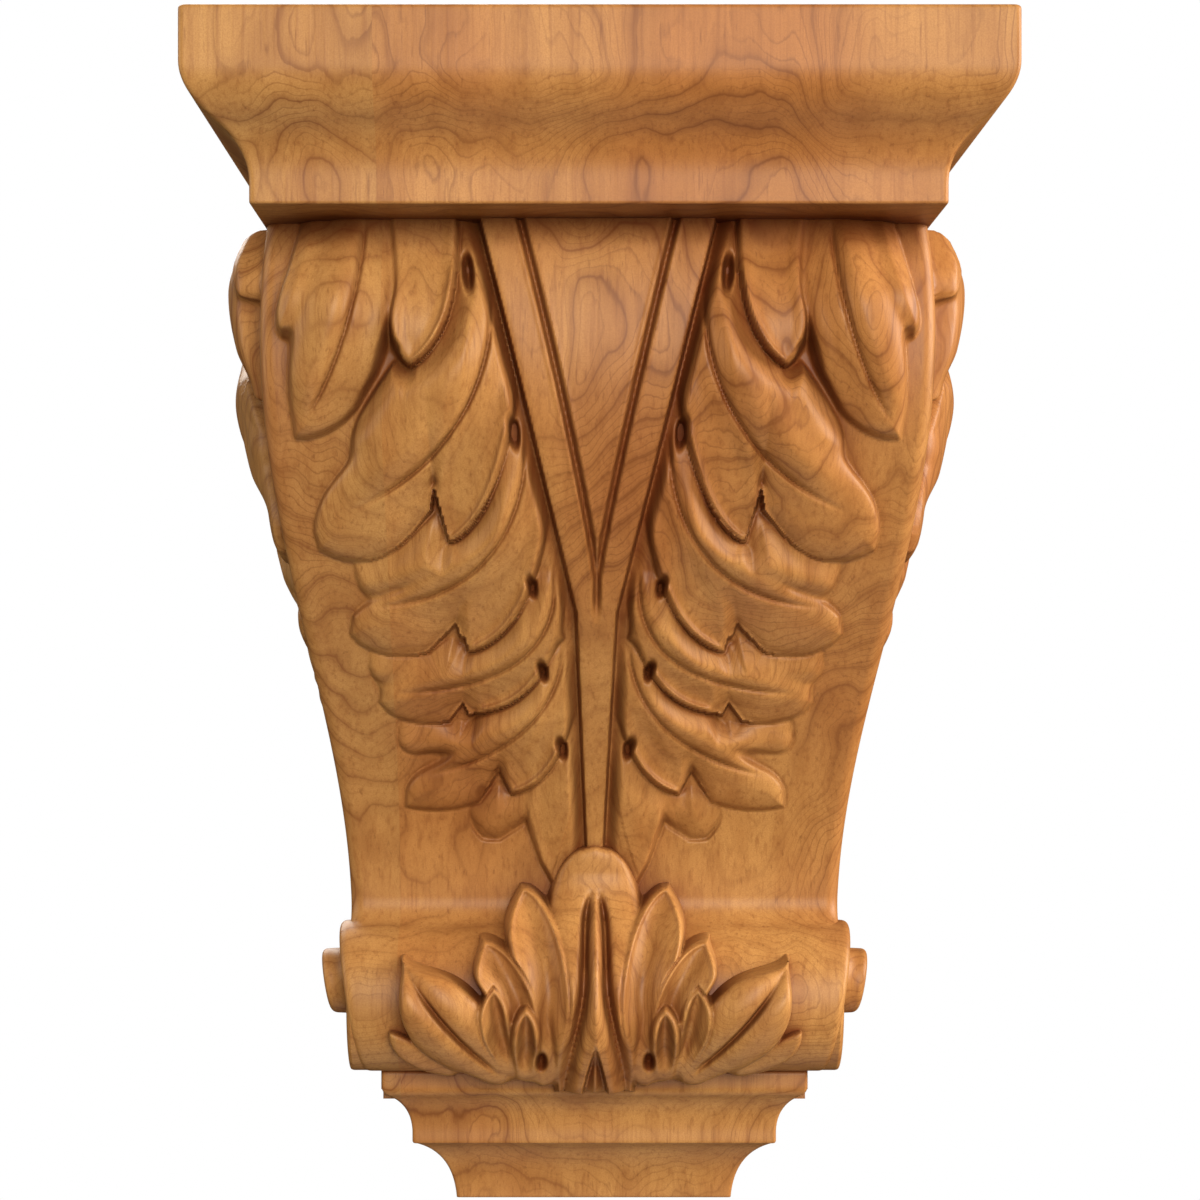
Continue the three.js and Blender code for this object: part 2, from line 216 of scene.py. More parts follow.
def cherry_wood():
    """Cherry wood, sanded and satin-lacquered.

    Growth rings lie nearly parallel to the front, 1.6 mm apart, with a darker one every 6.5 mm, and
    sway along the height, so that they show as wavy contour lines on carved slopes. They jump at a
    glue joint between two boards. Short dark pores and fibre streaks run up the piece, and the
    colour wanders between golden, reddish and purplish brown. Shade is painted dark and red into
    the recesses, and a thin lacquer leaves a faint, broad highlight. Lengths are in metres."""
    ring_gap = 0.0016
    band_gap = 0.0065
    ring_sway = 0.085
    ring_lean = 0.05
    ring_jag = 0.0016
    board_joint = -0.0616
    board_step = 0.0137
    painted_shade_reach = 0.014
    fibre_depth = 0.0002
    material = bpy.data.materials.new("cherry wood, sanded and satin-lacquered")
    material.use_nodes = True
    tree = material.node_tree
    shader = tree.nodes["Principled BSDF"]
    place = add_node(tree, "ShaderNodeTexCoord").outputs["Object"]
    split = add_node(tree, "ShaderNodeSeparateXYZ", links={"Vector": place})

    def noise(squeeze, size, detail, roughness=0.55):
        """Noise with features of a size in mm across the piece, drawn out along the height by
        squeezing that axis."""
        drawn = add_node(tree, "ShaderNodeMapping", values={"Scale": (1, 1, squeeze)},
                         links={"Vector": place})
        return add_node(tree, "ShaderNodeTexNoise", links={"Vector": drawn.outputs[0]}, values={
            "Scale": 1000 / size, "Detail": detail, "Roughness": roughness}).outputs["Fac"]

    def spread(value, low, high, out_low, out_high):
        """A value from low to high, moved to the range out_low to out_high."""
        return add_node(tree, "ShaderNodeMapRange", links={"Value": value}, values={
            "From Min": low, "From Max": high, "To Min": out_low, "To Max": out_high}).outputs[0]

    def sum_of(value, factor, other):
        """The value times a factor, plus another value."""
        return add_node(tree, "ShaderNodeMath", {"operation": "MULTIPLY_ADD"}, {1: factor},
                        {0: value, 2: other}).outputs[0]

    def product(a, b):
        """Two values multiplied."""
        return add_node(tree, "ShaderNodeMath", {"operation": "MULTIPLY"},
                        links={0: a, 1: b}).outputs[0]

    def saw(value, gap, stops):
        """A line across each gap of the value, shaped by the stops (place, strength) of a ramp."""
        turns = add_node(tree, "ShaderNodeMath", {"operation": "DIVIDE"}, {1: gap}, {0: value})
        phase = add_node(tree, "ShaderNodeMath", {"operation": "FRACT"},
                         links={0: turns.outputs[0]})
        ramp = add_node(tree, "ShaderNodeValToRGB", links={"Fac": phase.outputs[0]})
        ramp.color_ramp.elements[1].position = 1.0
        for element, (at, strength) in zip(ramp.color_ramp.elements, (stops[0], stops[-1])):
            element.position = at
            element.color = (strength, strength, strength, 1)
        for at, strength in stops[1:-1]:
            ramp.color_ramp.elements.new(at).color = (strength, strength, strength, 1)
        return ramp.outputs["Color"]

    def tinted(under, code, factor):
        """The colour under it moved towards another by a factor."""
        return add_node(tree, "ShaderNodeMix", {"data_type": "RGBA"}, {"B": linear(code)},
                        {"Factor": factor, "A": under}).outputs["Result"]

    left_board = add_node(tree, "ShaderNodeMath", {"operation": "LESS_THAN"}, {1: board_joint},
                          {0: split.outputs["X"]}).outputs[0]
    swayed = sum_of(noise(0.5, 66.67, 3, 0.45), ring_sway, split.outputs["Y"])
    leaning = sum_of(split.outputs["X"], ring_lean, sum_of(left_board, board_step, swayed))
    jagged = sum_of(noise(0.3, 4.545, 3), ring_jag, leaning)
    ring_line = saw(jagged, ring_gap, [(0, 0.5), (0.05, 0), (0.8, 0.05), (0.96, 1), (1, 0.5)])
    ring = product(ring_line, spread(noise(0.5, 38.46, 1), 0.4, 0.66, 0.08, 0.5))
    band_line = saw(jagged, band_gap,
                    [(0, 1), (0.05, 0.5), (0.3, 0.1), (0.75, 0.1), (0.93, 0.5), (1, 1)])
    band = product(band_line, spread(noise(0.5, 62.5, 1), 0.4, 0.6, 0.25, 0.85))
    golden = add_node(tree, "ShaderNodeMix", {"data_type": "RGBA"},
                      {"A": linear("#B5854B"), "B": linear("#A66D39")},
                      {"Factor": spread(noise(0.35, 66.67, 2), 0.36, 0.64, 0, 1)}).outputs["Result"]
    boards = tinted(golden, "#AF8951", spread(left_board, 0, 1, 0, 0.4))
    patched = tinted(boards, "#905A35", spread(noise(0.4, 41.67, 3), 0.52, 0.72, 0, 0.55))
    banded = tinted(patched, "#875325", spread(noise(0.03, 7.692, 3), 0.42, 0.7, 0, 0.4))
    # Real fibres and pores are about 0.1 mm wide. These are as coarse as a render needs.
    streaked = tinted(banded, "#75411D", spread(noise(0.035, 1.389, 3), 0.5, 0.75, 0, 0.45))
    pored = tinted(streaked, "#5C2F14", spread(noise(0.11, 1, 2), 0.6, 0.74, 0, 0.36))
    ringed = tinted(tinted(pored, "#6C3C1B", band), "#643718", ring)
    grained = tinted(ringed, "#784A26", spread(noise(1, 0.3846, 1), 0.35, 0.7, 0, 0.28))
    # Painted shade: the colour is darkened to a deep red-brown in recesses, measured by ambient
    # occlusion within 14 mm, to stand in for the shade that falls there.
    recess_occlusion = add_node(tree, "ShaderNodeAmbientOcclusion", {"samples": 8},
                      {"Distance": painted_shade_reach})
    shade_painted_in_recesses = tinted(grained, "#5A230B", spread(recess_occlusion.outputs["AO"], 0.2, 0.92, 0.85, 0))
    tree.links.new(shade_painted_in_recesses, shader.inputs["Base Color"])
    bump = add_node(tree, "ShaderNodeBump", values={"Strength": 0.25, "Distance": fibre_depth},
                    links={"Height": noise(0.035, 1.389, 3)})
    tree.links.new(bump.outputs[0], shader.inputs["Normal"])
    shader.inputs["Roughness"].default_value = 0.45
    shader.inputs["Specular IOR Level"].default_value = 0.2
    return material


wood = cherry_wood()


def dress(piece):
    """Gives a piece the wood, and its place on the corbel."""
    piece.data.materials.append(wood)
    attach(piece, "root")
    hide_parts("corbel")


cap_grid, cap_flats = moulded_block(cap_profile(), half_width, depth, cap_corner)
cap = carved_piece("cap_moulding", [cap_grid], cap_flats)
dress(cap)

# The foot under the roll is a low block with two coves below it, cut from the same wood and run
# round the same three sides.
foot_height = 50
foot_half_width = 67.8
foot_depth = 55
foot_band = 13.5
foot_round = 2
foot_corner = 1.2
upper_cove_inset = 9.3
upper_cove_drop = 12.5
foot_fillet = 3.8
lower_cove_inset = 23
roll_radius = 23.9
roll_z = bottom + 68.6


def foot_profile():
    """The foot's section from its bottom edge up: wide cove, small lip, fillet, narrow cove, and
    block. Each cove is a quarter turn that starts level under the lip or block above it."""
    block_foot = bottom + foot_height - foot_band
    fillet_top = block_foot - upper_cove_drop
    lip = fillet_top - foot_fillet
    lower = bezier([lower_cove_inset, bottom], [lower_cove_inset - 1.2, lip - 5.3],
                   [upper_cove_inset + 1, lip - 0.3], 22)
    edge = bezier([upper_cove_inset + 0.4, lip - 0.2], [upper_cove_inset, lip],
                  [upper_cove_inset, lip + 0.8], 4)
    upper = bezier([upper_cove_inset, fillet_top], [upper_cove_inset - 0.4, block_foot - 4],
                   [foot_round, block_foot], 16)
    rounded = bezier([foot_round - 0.2, block_foot + 0.12], [0.2, block_foot + 1.1],
                     [0, block_foot + 3], 8)
    under_roll = [[0, roll_z - roll_radius]]
    return filled(np.concatenate([lower, edge, upper, rounded, under_roll]), profile_gap)


foot_grid, foot_flats = moulded_block(foot_profile(), foot_half_width, foot_depth, foot_corner)
foot = carved_piece("coved_foot", [foot_grid], foot_flats)
dress(foot)

# The body tapers along an S-curve on its front and both sides. A strap with two V grooves runs
# down its middle between two acanthus leaves, and each side carries half a leaf. All of it is
# carved with gouges into the block: lobes with raised edges, hollows, veins and drilled eyes.
bulge_z = top - 83
hollow_z = bottom + 89
bulge_depth = 135
hollow_depth = 54
bulge_half_width = 97.5
hollow_half_width = 77.5
arris_radius = 4.5
body_foot = roll_z - roll_radius
roll_from_wall = 52.5
roll_fillet = 10

strap_top_half_width = 34
strap_fork_half_width = 6.2
strap_end_half_width = 2.6
strap_fork_z = bottom + 189
strap_end_z = bottom + 112
strap_top_rise = 9
strap_end_rise = 5
strap_gutter = 5
groove_inset = 11.7
groove_meet_z = bottom + 199
groove_end_z = bottom + 187
groove_width = 1.5
groove_depth = 3.4

# Groups of the leaf's lobes from the cap down. Each has its rise and the height and breadth of the
# ridge along its vein in mm, the vein's course, the notch between its two inner lobes (apex, and
# how far its outer and inner side lean from upright in degrees), its lobes, and the drilled eye at
# the head of the inner one (x, z, half length and half width in mm). A course is root, bend and tip
# in hundredths of the half width (x) and of the height (z). A lobe's course is followed by its
# widths left and right in hundredths of the half width, the places where they are widest, the
# root's shares of the widths, and how blunt the tip is on each side (0.3 square, 1 pointed). The
# first group's inner lobe stands inner_step mm above its neighbours.
leaf_groups = [
    {"rise": 14, "ridge": 2.4, "band": 4.5, "vein": ([58.9, 86.7], [57.6, 76.2], [75.0, 68.5]),
     "notch": ([51.4, 75.4], 30, 30), "eye": (32.6, 81.4, 3.8, 1.35), "inner_step": 1.1,
     "lobes": [
         ([71.4, 88.1], [71.4, 81.0], [79.0, 76.2], 4.0, 3.7, 0.62, 0.62, 0.8, 0.8, 0.55, 0.8),
         ([59.3, 88.1], [58.1, 76.6], [76.3, 67.8], 11.0, 11.0, 0.52, 0.62, 0.85, 0.9, 1.0, 0.8),
         ([40.4, 88.1], [39.0, 78.7], [46.5, 73.3], 9.4, 5.5, 0.6, 0.45, 1.3, 0.95, 0.6, 0.9),
     ]},
    {"rise": 13.5, "ridge": 3.0, "band": 6.5, "vein": ([30.1, 86.7], [15.2, 68.0], [65.3, 61.7]),
     "notch": ([41.5, 63.8], 9, 15), "eye": (21.2, 68.5, 2.8, 1.35),
     "lobes": [
         ([40.0, 76.2], [49.8, 71.3], [59.2, 66.3], 6.0, 5.5, 0.72, 0.72, 0.8, 1.2, 0.5, 0.7),
         ([28.6, 86.7], [28.5, 68.7], [71.6, 58.9], 10.7, 12.6, 0.8, 0.8, 0.7, 0.4, 0.6, 0.8),
         ([26.0, 84.1], [18.0, 68.3], [38.3, 59.5], 10.7, 4.1, 0.68, 0.72, 0.9, 1.0, 0.9, 0.6),
     ]},
    {"rise": 12, "ridge": 2.4, "band": 4.6, "vein": ([18.9, 71.9], [12.9, 54.9], [60.1, 54.2]),
     "notch": ([36.9, 52.8], 45, 20), "eye": (17.0, 56.1, 1.9, 1.2),
     "lobes": [
         ([32.2, 62.8], [49.2, 57.8], [62.7, 56.8], 9.3, 5.7, 0.8, 0.8, 1.0, 2.4, 0.35, 0.4),
         ([18.2, 71.8], [12.6, 54.2], [64.9, 51.9], 7.1, 9.7, 0.87, 0.74, 1.5, 0.4, 0.35, 0.7),
         ([16.7, 69.1], [11.8, 54.9], [33.7, 50.4], 10.0, 2.9, 0.7, 0.6, 0.9, 1.4, 0.8, 0.8),
     ]},
    {"rise": 11, "ridge": 2.2, "band": 3.8, "vein": ([12.3, 59.2], [4.0, 47.1], [56.0, 46.9]),
     "notch": ([35.6, 46.0], 38, 25), "eye": (14.3, 49.0, 1.9, 1.25),
     "lobes": [
         ([25.2, 52.7], [43.7, 49.7], [60.4, 49.2], 5.8, 4.7, 0.8, 0.8, 1.0, 2.2, 0.35, 0.5),
         ([11.3, 60.2], [13.5, 47.2], [58.0, 46.1], 5.6, 8.8, 0.84, 0.7, 1.5, 0.45, 0.35, 0.6),
         ([11.8, 58.0], [8.5, 47.8], [31.7, 45.2], 9.1, 2.4, 0.75, 0.6, 0.9, 1.3, 0.5, 0.8),
     ]},
    {"rise": 11, "ridge": 2.2, "band": 3.8, "vein": ([8.7, 52.7], [7.1, 42.4], [47.5, 39.5]),
     "notch": ([26.3, 40.0], 32, 28), "eye": (9.3, 42.3, 2.1, 1.35),
     "lobes": [
         ([20.2, 46.7], [39.1, 43.2], [53.6, 42.7], 6.4, 4.3, 0.8, 0.8, 1.0, 2.8, 0.35, 0.5),
         ([6.7, 54.7], [6.3, 40.8], [52.1, 36.7], 8.2, 6.5, 0.88, 0.68, 1.3, 0.5, 0.5, 1.0),
         ([7.7, 51.4], [5.0, 40.6], [23.4, 37.9], 8.7, 1.9, 0.8, 0.6, 0.9, 1.3, 0.6, 0.7),
     ]},
    {"rise": 9, "ridge": 0, "band": 3, "vein": ([4.2, 47.2], [2.8, 37.4], [13.7, 29.2]),
     "notch": ([18.9, 35.6], 52, 18),
     "lobes": [
         ([12.8, 41.0], [24.5, 37.9], [31.0, 33.8], 7.4, 7.1, 0.7, 0.7, 0.9, 0.7, 0.8, 0.8),
         ([4.8, 46.3], [3.6, 36.1], [11.5, 29.1], 12.7, 5.5, 0.5, 0.6, 0.7, 1.2, 1.4, 0.6),
     ]},
]
# How far round a group the ones below it are sunk, so that they come out from under it
sink_reach = 12
# Distance inside an outline that is given to points far from it
far_outside = -30.0
leaf_eye_depth = 9


def s_curve(z):
    """1 at the bulge and 0 at the hollow, as half a cosine wave between them."""
    share = np.clip((bulge_z - z) / (bulge_z - hollow_z), -1, 1)
    return 0.5 + 0.5 * np.cos(math.pi * share)


def soft_max(a, b, fillet):
    """The larger of two heights, with a fillet where they cross."""
    return np.maximum(a, b) + np.maximum(fillet - np.abs(a - b), 0) ** 2 / (4 * fillet)


def soft_min(a, b, fillet):
    """The smaller of two heights, with their meeting line rounded."""
    return -soft_max(-a, -b, fillet)


def plain_depth(z):
    """Distance of the S-curved front from the wall, before it flares into the roll."""
    return mix(hollow_depth, bulge_depth, s_curve(z))


def body_depth(z):
    """Distance of the plain front from the wall: the S-curve, a fillet, and the roll's front. The
    fillet's circle touches the front above and the roll's circle below."""
    above = z - roll_z
    reach = roll_radius + roll_fillet
    start = math.sqrt(reach ** 2 - (hollow_depth + roll_fillet - roll_from_wall) ** 2)
    sink = np.clip(start - above, 0, 0.999 * roll_fillet)
    filleted = plain_depth(z) + roll_fillet - np.sqrt(roll_fillet ** 2 - sink ** 2)
    round_front = roll_from_wall + np.sqrt(np.clip(roll_radius ** 2 - above ** 2, 0, None))
    return np.where(above > start * roll_radius / reach, filleted, round_front)


def body_half_width(z):
    """Half width of the plain body."""
    return mix(hollow_half_width, bulge_half_width, s_curve(z))


tip_roundness = 2.6


def lobe_width(t, widest, neck, blunt):
    """Share of the full width along a lobe: swells from its neck, then rounds off to its tip."""
    swell = mix(neck, 1, smooth_step(0, widest, t))
    round_off = np.clip((t - widest) / (1 - widest), 0, 1)
    return swell * (1 - round_off ** tip_roundness) ** blunt


def placed(point):
    """A point in mm from hundredths of the half width and of the height."""
    return np.array([point[0] / 100 * half_width, bottom + point[1] / 100 * height])


course_places = 60


def on_course(t, root, bend, tip):
    """Points and slopes at t of the curve (1-t)^2 root + 2t(1-t) bend + t^2 tip."""
    t = t[:, None]
    there = (1 - t) ** 2 * root + 2 * t * (1 - t) * bend + t ** 2 * tip
    return there, 2 * (1 - t) * (bend - root) + 2 * t * (tip - bend)


def along_course(point, root, bend, tip):
    """Share t of each point along the quadratic curve through root, bend and tip, and its distance
    to the left of it. The nearest of many places is refined by Newton's rule."""
    t = np.linspace(0, 1, course_places)
    course, _ = on_course(t, root, bend, tip)
    t = t[np.argmin(((point[:, None] - course) ** 2).sum(-1), 1)]
    turn = 2 * (tip - 2 * bend + root)
    for _ in range(4):
        there, slope = on_course(t, root, bend, tip)
        step = ((there - point) * slope).sum(1) / np.maximum(
            (slope ** 2).sum(1) + ((there - point) * turn).sum(1), 0.2 * (slope ** 2).sum(1))
        t = np.clip(t - np.clip(step, -0.1, 0.1), 0, 1)
    there, slope = on_course(t, root, bend, tip)
    off = point - there
    return t, (off[:, 1] * slope[:, 0] - off[:, 0] * slope[:, 1]) / np.linalg.norm(slope, axis=1)


def lobe_outline(x, z, lobe, round_root):
    """Which of the points x, z are near a lobe, and their distance to its outline, below 0 outside.

    The outline is a polygon at the course plus and minus the width. A round root closes like a
    quarter circle over its first tenth, and any other root runs on straight for root_run mm."""
    root_run = 15
    root, bend, tip = (placed(p) for p in lobe[:3])
    left, right, widest_left, widest_right = lobe[3:7]
    neck_left, neck_right, blunt_left, blunt_right = lobe[7:]
    t = np.linspace(0, 1, course_places)
    closing = np.clip(t / 0.1, 0, 1)
    full = (np.sqrt(closing * (2 - closing)) if round_root else 1) / 100 * half_width
    on_left = full * left * lobe_width(t, widest_left, neck_left, blunt_left)
    on_right = full * right * lobe_width(t, widest_right, neck_right, blunt_right)
    course, slope = on_course(t, root, bend, tip)
    slope = slope / np.linalg.norm(slope, axis=1)[:, None]
    normal = np.stack([-slope[:, 1], slope[:, 0]], -1)
    left_line = course + normal * on_left[:, None]
    right_line = course - normal * on_right[:, None]
    outline = np.concatenate([left_line, right_line[::-1]])
    if not round_root:
        run = root_run * slope[0]
        outline = np.concatenate([left_line[:1] - run, outline, right_line[:1] - run])
    low, high = outline.min(0) - sink_reach, outline.max(0) + sink_reach
    near = (x > low[0]) & (x < high[0]) & (z > low[1]) & (z < high[1])
    point = np.stack([x[near], z[near]], -1)
    run = np.roll(outline, -1, axis=0) - outline
    from_corner = point[:, None] - outline
    along = np.clip((from_corner * run).sum(-1) / np.maximum((run ** 2).sum(-1), 1e-9), 0, 1)
    gap = np.sqrt(((from_corner - along[..., None] * run) ** 2).sum(-1).min(1))
    above = (outline[:, 1] > point[:, 1:]) != (np.roll(outline[:, 1], -1) > point[:, 1:])
    climb = np.where(run[:, 1] == 0, 1, run[:, 1])
    cross = outline[:, 0] + (point[:, 1:] - outline[:, 1]) * run[:, 0] / climb
    inside = (above & (point[:, :1] < cross)).sum(1) % 2 == 1
    return near, np.where(inside, gap, -gap)


def lobe_edge(x, z, lobe, round_root=False):
    """Distance inside a lobe's outline for all points, and far_outside where none is near."""
    near, gap = lobe_outline(x, z, lobe, round_root)
    edge = np.full(x.shape, far_outside)
    edge[near] = gap
    return edge


def bell(value, width):
    """1 at 0, falling off smoothly within a few widths."""
    return np.exp(-(value / width) ** 2)


def joined(edges, reach):
    """Distance inside the joint outline of shapes with the given distances, where shapes closer
    than about the reach run together."""
    return reach * np.logaddexp.reduce(np.stack(edges) / reach, axis=0)


def notch_depth(x, z, notch):
    """Distance inside a V notch that opens downwards from its apex, below 0 outside."""
    apex, outer, inner = placed(notch[0]), math.radians(notch[1]), math.radians(notch[2])
    off, below = x - apex[0], apex[1] - z
    return np.minimum(below * math.sin(outer) - off * math.cos(outer),
                      below * math.sin(inner) + off * math.cos(inner))


def group_top(t, u, group):
    """Height of a group's top at share t along its vein and u mm to the outer side of it.

    A rounded ridge stands along the vein's outer side and falls off gently beyond. The vein is a
    fine groove at the ridge's foot, and a dished surface lies on its inner side. The group rises
    from its root and curls down at its tip."""
    rise, ridge = group["rise"], group["ridge"]
    top_line = rise * (0.5 + 0.5 * smooth_step(0, 0.5, t) - 0.55 * smooth_step(0.4, 1.05, t))
    lives = smooth_step(0.02, 0.2, t) * (1 - smooth_step(0.8, 1, t))
    band = group["band"] * (0.6 + 0.4 * smooth_step(0, 0.4, t))
    hill = ridge * np.sin(0.5 * math.pi * np.clip(u / band, 0, 1)) * lives
    beyond = -0.05 * np.clip(u - band, 0, 14) ** 1.6
    dish = -(0.5 + 1.5 * smooth_step(0, 7, -u)) * (u < 0) * lives
    groove = -0.6 * ridge * bell(u + 0.3, 0.7) * lives
    return top_line + hill + beyond + dish + groove


def inner_side(x, z, group):
    """Distance from the inner lobe's course, sideways: below 0 on its rimmed side."""
    root, bend, tip = (placed(p) for p in group["lobes"][-1][:3])
    t = np.clip((root[1] - z) / (root[1] - tip[1]), 0, 1)
    return x - mix(mix(root[0], bend[0], t), mix(bend[0], tip[0], t), t)


def group_body(x, z, group, inner, by_rim, near, share):
    """Height of a group with its dished inner lobe, times a share, and how far the group has grown
    out of what it springs from: 0 at its root, 1 from a fifth of its vein on. A group whose root
    isn't under the cap starts root_dip mm lower. The inner lobe has a raised rim below its eye."""
    root_dip = 6
    inner_dip = 0.9
    rim_rise = 2.0
    body = np.full(x.shape, far_outside)
    grown = np.ones(x.shape)
    t, u = along_course(np.stack([x[near], z[near]], -1), *[placed(p) for p in group["vein"]])
    body[near] = group_top(t, u, group)
    if placed(group["vein"][0])[1] < cap_underside:
        body[near] -= root_dip * (1 - smooth_step(0, 0.14, t))
        grown[near] = smooth_step(0.04, 0.2, t)
    body = share * (body + group.get("inner_step", 0) * smooth_step(-0.6, 1.2, inner))
    body = body - inner_dip * smooth_step(1, 5, inner)
    if "eye" in group:
        below_eye = smooth_step(3, -3, z - placed(group["eye"][:2])[1])
        body = body + rim_rise * bell(inner - 1.2, 0.9) * by_rim * below_eye
    return body, grown


def group_wall(body, edge, inner):
    """A group's top with its edge: the outer lobes fall off softly like a cushion, the arris is
    rounded twice, coarse and fine, and outside the outline it drops 5 mm per mm."""
    inside = np.clip(edge, 0, None)
    pillow = 2.8 * np.exp(-inside / 3.4) * smooth_step(1.5, -1.5, inner)
    arris = 0.55 * np.exp(-inside / 1.3) + 0.8 * np.exp(-inside / 0.6)
    return body - pillow - arris + 5 * np.minimum(edge, 0)


def sunk_below(relief, body, edge, at_apex, by_rim, grown, near):
    """The relief so far, sunk round the outline of the group that comes over it: by a share of its
    height that fades with the square of a smooth step over sink_reach, and to a drop below the
    group's own top. Both are larger at the outer lobes than by the rim, and largest at the
    notch's apex."""
    fall = smooth_step(sink_reach, 0, -edge) ** 2 * grown
    sink = (mix(0.6, 0.36, by_rim) + 0.4 * at_apex) * fall
    drop = mix(3.2, 2.1, by_rim) + 4.2 * at_apex
    drop = drop + mix(0.7, 1.1, by_rim) * np.minimum(edge, 0)
    under = np.where(near, body - drop + 20 * (1 - grown), 99)
    lowered = soft_min(relief * (1 - sink), np.maximum(under, 0), 1.2)
    return np.where(edge < 0, np.maximum(lowered, np.minimum(relief, 0)), relief)


def drilled(relief, x, z, eye, eye_depth, lean, bluntness):
    """The relief less a drilled eye: a pit of depth times e^-(r^2)^bluntness, where r is the
    distance in half lengths and half widths. A leaning eye is drawn out below its middle."""
    across, up, long_half, short_half = eye
    off_z = (z - bottom - up / 100 * height) / long_half
    off_x = (x - across / 100 * half_width) / short_half - lean * off_z
    if lean:
        off_z = np.where(off_z < 0, 0.6 * off_z, off_z)
    return relief - eye_depth * np.exp(-(off_x ** 2 + off_z ** 2) ** bluntness)


def leaf_relief(x, z, first_lift=0, first_share=1):
    """Height of one half of the leaf at x, z. Groups are laid one over the other from the lowest
    up, over a low bed that joins their roots. Each ends in a steep wall, and the ones below it sink
    towards that wall. The drilled eyes are sunk last. The first group can be lifted by first_lift
    mm, and made a share as high."""
    bed = lobe_edge(x, z, ([34, 92], [12, 66], [6, 33], 15, 14, 0.3, 0.3, 1, 1, 1, 1))
    relief = 4 * smooth_step(-1.5, 3, bed)
    for group in leaf_groups[::-1]:
        first = group is leaf_groups[0]
        level = z - first_lift if first else z
        edges = [lobe_edge(x, level, lobe) for lobe in group["lobes"]]
        inner = edges[-1]
        apex = placed(group["notch"][0])
        notch = notch_depth(x, level, group["notch"])
        by_rim = smooth_step(2, -2, inner_side(x, level, group))
        edge = np.minimum(joined([joined(edges[:-1], 2.4), inner], 0.6), -notch)
        near = edge > -sink_reach
        body, grown = group_body(x, level, group, inner, by_rim, near, first_share if first else 1)
        wall = group_wall(body, edge, inner)
        at_apex = bell(np.hypot(x - apex[0], level - apex[1] + 3), 6)
        relief = sunk_below(relief, body, edge, at_apex, by_rim, grown, near)
        soft = 0.95 + 0.9 * at_apex
        over = mix(relief, wall, smooth_step(-soft, soft, edge))
        relief = mix(soft_max(relief, wall, 2), over, grown)
    for eye in [group["eye"] for group in leaf_groups if "eye" in group]:
        relief = drilled(relief, x, z, eye, leaf_eye_depth, 0.3, 1.4)
    return relief


def with_strap(relief, x, z):
    """The leaf's relief with the strap laid over it: flat between its edges, with two V grooves
    that meet, and a gutter beside it in which the leaf dies out."""
    share = (z - strap_fork_z) / (cap_underside - strap_fork_z)
    lower_share = (z - strap_end_z) / (strap_fork_z - strap_end_z)
    side = np.where(z > strap_fork_z, mix(strap_fork_half_width, strap_top_half_width, share),
                    mix(strap_end_half_width, strap_fork_half_width, lower_share))
    rise = mix(strap_end_rise, strap_top_rise, (z - strap_end_z) / (cap_underside - strap_end_z))
    edge = side - np.abs(x)
    body = rise - 0.8 * np.exp(-np.clip(edge, 0, None) / 0.7)
    spread = np.clip((z - groove_meet_z) / (cap_underside - groove_meet_z), 0, None) ** 1.12
    spread = spread * (strap_top_half_width - groove_inset)
    off = np.abs(np.abs(x) - spread)
    cut = groove_depth * smooth_step(groove_end_z - 2, groove_end_z + 8, z)
    raised_lip = 0.25 * bell(off - groove_width - 0.4, 0.5) * cut / groove_depth
    body = body - cut * np.clip(1 - off / groove_width, 0, 1) + raised_lip
    gutter = smooth_step(0.3, strap_gutter, -edge)
    relief = mix(np.minimum(relief, 0.8), relief, gutter)
    seen = smooth_step(-0.35, 0.35, edge) * smooth_step(strap_end_z - 1, strap_end_z + 1, z)
    return mix(relief, body, seen)


def side_rise_share(z):
    """Height of the side carving as a share of the front's."""
    return mix(0.14, 1.04, s_curve(z))


side_leaf_lift = 12
side_leaf_first_share = 0.8
side_leaf_shoulder = 11


def body_surface(z, places, turns):
    """Half of the body's carved skin. Rows are heights z. A column is a share of the flat front
    (places 0 to 1), an angle round the arris (turns 0 to 90 degrees), or a share of the flat side
    (places 1 to 2, 2 at the wall). The relief stands out along the plain surface's normal, and
    the side's leaf rounds over under the cap."""
    z = z[:, None] + 0 * places
    front, side = body_depth(z), body_half_width(z)
    across = np.clip(places, 0, 1)
    back = np.clip(places - 1, 0, 1)
    x = (side - arris_radius) * across + arris_radius * np.sin(turns)
    y = (front - arris_radius) * (1 - back) + arris_radius * np.cos(turns) * (back == 0)
    from_front = with_strap(leaf_relief(x, z), x, z)
    from_side = leaf_relief(y / front * side, z, side_leaf_lift, side_leaf_first_share)
    from_side = from_side * side_rise_share(z)
    shoulder = np.clip((cap_underside - z) / side_leaf_shoulder, 0, 1)
    from_side = np.minimum(from_side, 3 + from_side * np.sqrt(1 - (1 - shoulder) ** 2))
    share = smooth_step(math.radians(15), math.radians(75), turns)
    relief = mix(from_front, from_side, share)
    x = x + relief * np.sin(turns)
    y = y + relief * np.cos(turns)
    y = np.where(places > 1.999, 0, y)
    return np.stack([x, -y, z], -1)


def body_columns():
    """Places and turns of the columns, and the number of the column where front and side part."""
    flat = np.linspace(0, 1, 178)[:-1]
    turn = np.linspace(0, math.pi / 2, 25)
    back = np.linspace(1, 2, 150)[1:]
    places = np.concatenate([flat, np.ones(len(turn)), back])
    turns = np.concatenate([0 * flat, turn, np.full(len(back), math.pi / 2)])
    return places, turns, len(flat) + len(turn) // 2


def closed_to_plane(grid, axis, value):
    """The grid and a strip from its border to the plane axis = value, with a flat on that plane."""
    border = np.concatenate([grid[0, :-1], grid[:-1, -1], grid[-1, :0:-1], grid[:0:-1, 0]])
    sunk = border.copy()
    sunk[:, axis] = value
    strip = np.stack([np.concatenate([sunk, sunk[:1]]), np.concatenate([border, border[:1]])])
    return [grid, strip], [sunk[::-1]]


